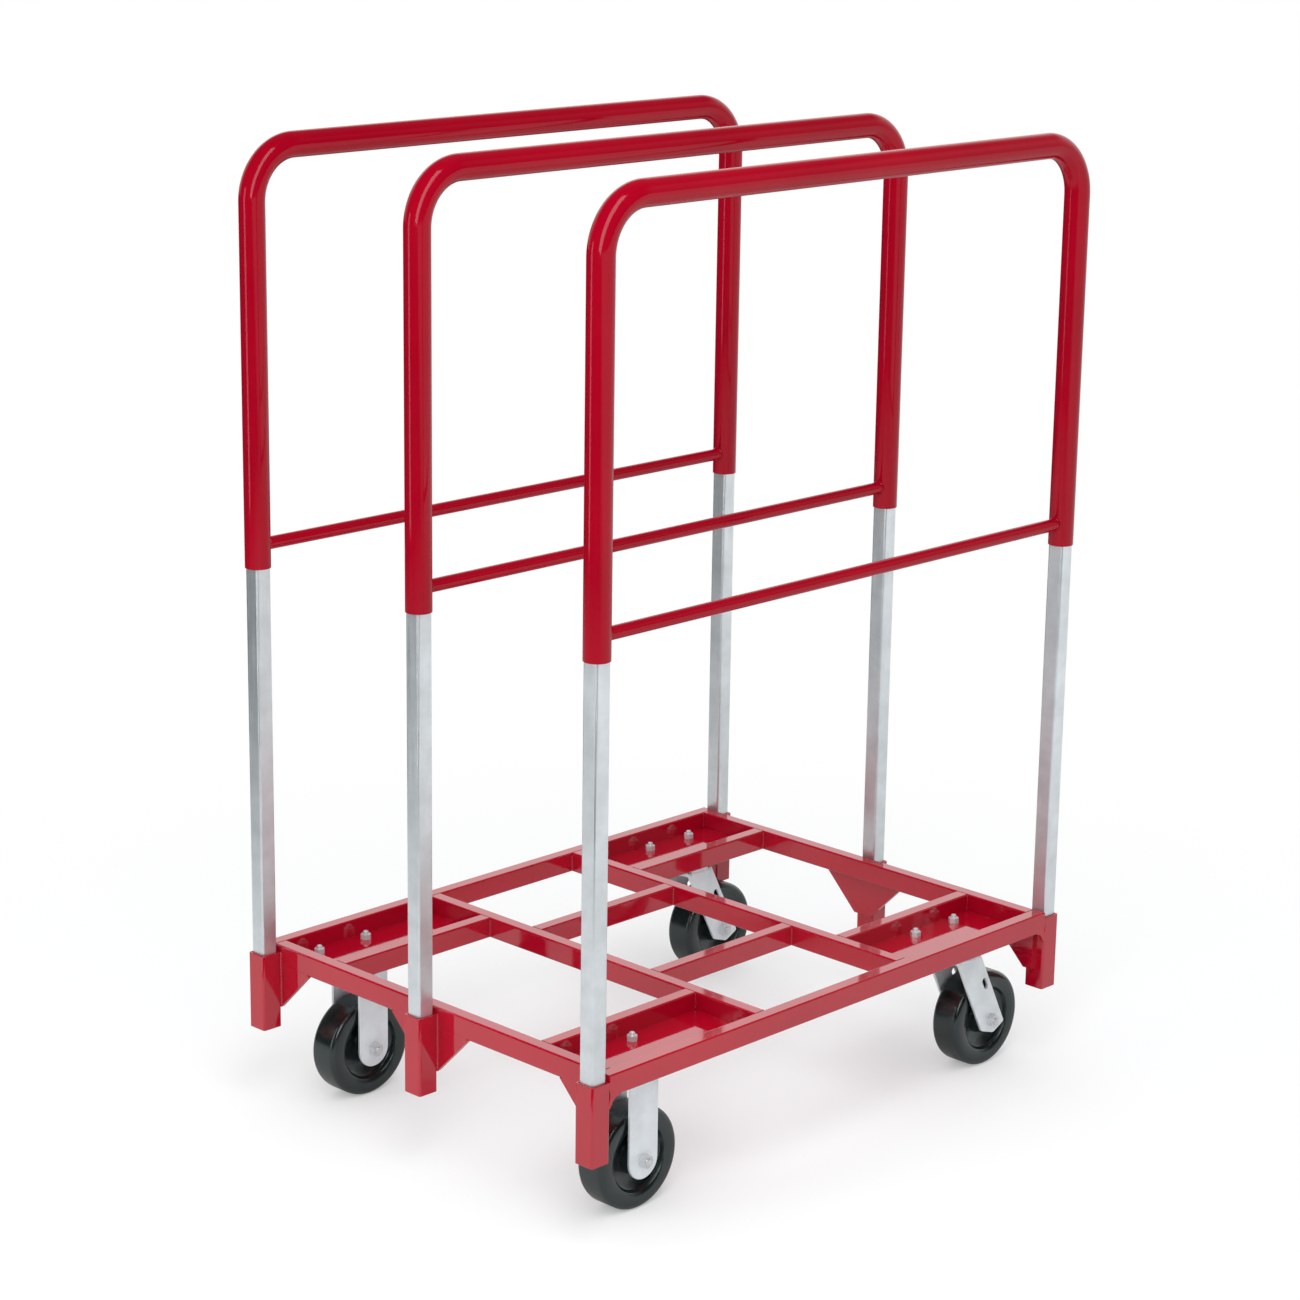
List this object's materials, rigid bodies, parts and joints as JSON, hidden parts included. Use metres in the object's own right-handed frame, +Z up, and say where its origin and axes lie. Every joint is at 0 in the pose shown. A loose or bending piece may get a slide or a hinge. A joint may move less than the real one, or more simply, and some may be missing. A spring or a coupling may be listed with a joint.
{
  "type": "drywall cart",
  "caption": "Red steel drywall cart: open tube deck on rigid and swivel casters, with lift-out tube hoops on zinc legs to hold sheets upright.",
  "frame": {"origin": "on the floor under the middle of the cart", "axes": "+X along the deck to the swivel casters, +Y to the right-hand side, +Z up"},
  "size_m": [1.0262, 0.736, 1.4561],
  "materials": {
    "red_paint": "gloss red paint over welded steel",
    "zinc_plate": "bright zinc plate",
    "plain_steel": "plain machined steel",
    "phenolic": "hard moulded phenolic resin, near black"
  },
  "bodies": {
    "deck": {"side_rail_left": "red_paint", "side_rail_right": "red_paint", "end_rail_front": "red_paint", "end_rail_rear": "red_paint", "cross_bar_front": "red_paint", "cross_bar_rear": "red_paint", "pocket_bar_front_left": "red_paint", "pocket_bar_front_right": "red_paint", "pocket_bar_rear_left": "red_paint", "pocket_bar_rear_right": "red_paint", "centre_bar_left": "red_paint", "centre_bar_right": "red_paint", "caster_pad_front_left": "red_paint", "caster_pad_front_right": "red_paint", "caster_pad_rear_left": "red_paint", "caster_pad_rear_right": "red_paint", "socket_front_left": "red_paint", "socket_front_middle": "red_paint", "socket_front_right": "red_paint", "socket_rear_left": "red_paint", "socket_rear_middle": "red_paint", "socket_rear_right": "red_paint", "gussets": "red_paint", "socket_stops": "red_paint", "pad_bolts": "zinc_plate", "pad_nuts": "zinc_plate", "rigid_fork_left": "zinc_plate", "rigid_fork_right": "zinc_plate", "rigid_axles": "plain_steel", "rigid_axle_nuts": "plain_steel", "rigid_bushes": "plain_steel", "swivel_plate_left": "zinc_plate", "swivel_plate_right": "zinc_plate", "kingpins": "plain_steel", "swivel_balls": "plain_steel"},
    "swivel_left": {"swivel_fork_left": "zinc_plate", "swivel_axle_left": "plain_steel", "swivel_axle_nut_left": "plain_steel", "swivel_bush_left": "plain_steel"},
    "swivel_right": {"swivel_fork_right": "zinc_plate", "swivel_axle_right": "plain_steel", "swivel_axle_nut_right": "plain_steel", "swivel_bush_right": "plain_steel"},
    "wheel_front_left_body": {"wheel_front_left": "phenolic", "roller_bearing_front_left": "plain_steel"},
    "wheel_front_right_body": {"wheel_front_right": "phenolic", "roller_bearing_front_right": "plain_steel"},
    "wheel_rear_left_body": {"wheel_rear_left": "phenolic", "roller_bearing_rear_left": "plain_steel"},
    "wheel_rear_right_body": {"wheel_rear_right": "phenolic", "roller_bearing_rear_right": "plain_steel"},
    "hoop_left_body": {"hoop_left": "red_paint", "tie_bar_left": "red_paint", "legs_left": "zinc_plate"},
    "hoop_middle_body": {"hoop_middle": "red_paint", "tie_bar_middle": "red_paint", "legs_middle": "zinc_plate"},
    "hoop_right_body": {"hoop_right": "red_paint", "tie_bar_right": "red_paint", "legs_right": "zinc_plate"}
  },
  "joints": [
    {"name": "swivel_left_turn", "type": "hinge", "parent": "deck", "child": "swivel_left", "pos_m": [0.352, -0.2865, 0.2026], "axis": [0, 0, 1], "continuous": true},
    {"name": "swivel_right_turn", "type": "hinge", "parent": "deck", "child": "swivel_right", "pos_m": [0.352, 0.2865, 0.2026], "axis": [0, 0, 1], "continuous": true},
    {"name": "wheel_front_left_spin", "type": "hinge", "parent": "deck", "child": "wheel_front_left_body", "pos_m": [-0.362, -0.2865, 0.0762], "axis": [0, 1, 0], "continuous": true},
    {"name": "wheel_front_right_spin", "type": "hinge", "parent": "deck", "child": "wheel_front_right_body", "pos_m": [-0.362, 0.2865, 0.0762], "axis": [0, 1, 0], "continuous": true},
    {"name": "wheel_rear_left_spin", "type": "hinge", "parent": "swivel_left", "child": "wheel_rear_left_body", "pos_m": [0.412, -0.2865, 0.0762], "axis": [0, 1, 0], "continuous": true},
    {"name": "wheel_rear_right_spin", "type": "hinge", "parent": "swivel_right", "child": "wheel_rear_right_body", "pos_m": [0.412, 0.2865, 0.0762], "axis": [0, 1, 0], "continuous": true},
    {"name": "hoop_left_lift", "type": "slide", "parent": "deck", "child": "hoop_left_body", "axis": [0, 0, 1], "range_m": [0, 0.11]},
    {"name": "hoop_middle_lift", "type": "slide", "parent": "deck", "child": "hoop_middle_body", "axis": [0, 0, 1], "range_m": [0, 0.11]},
    {"name": "hoop_right_lift", "type": "slide", "parent": "deck", "child": "hoop_right_body", "axis": [0, 0, 1], "range_m": [0, 0.11]}
  ]
}
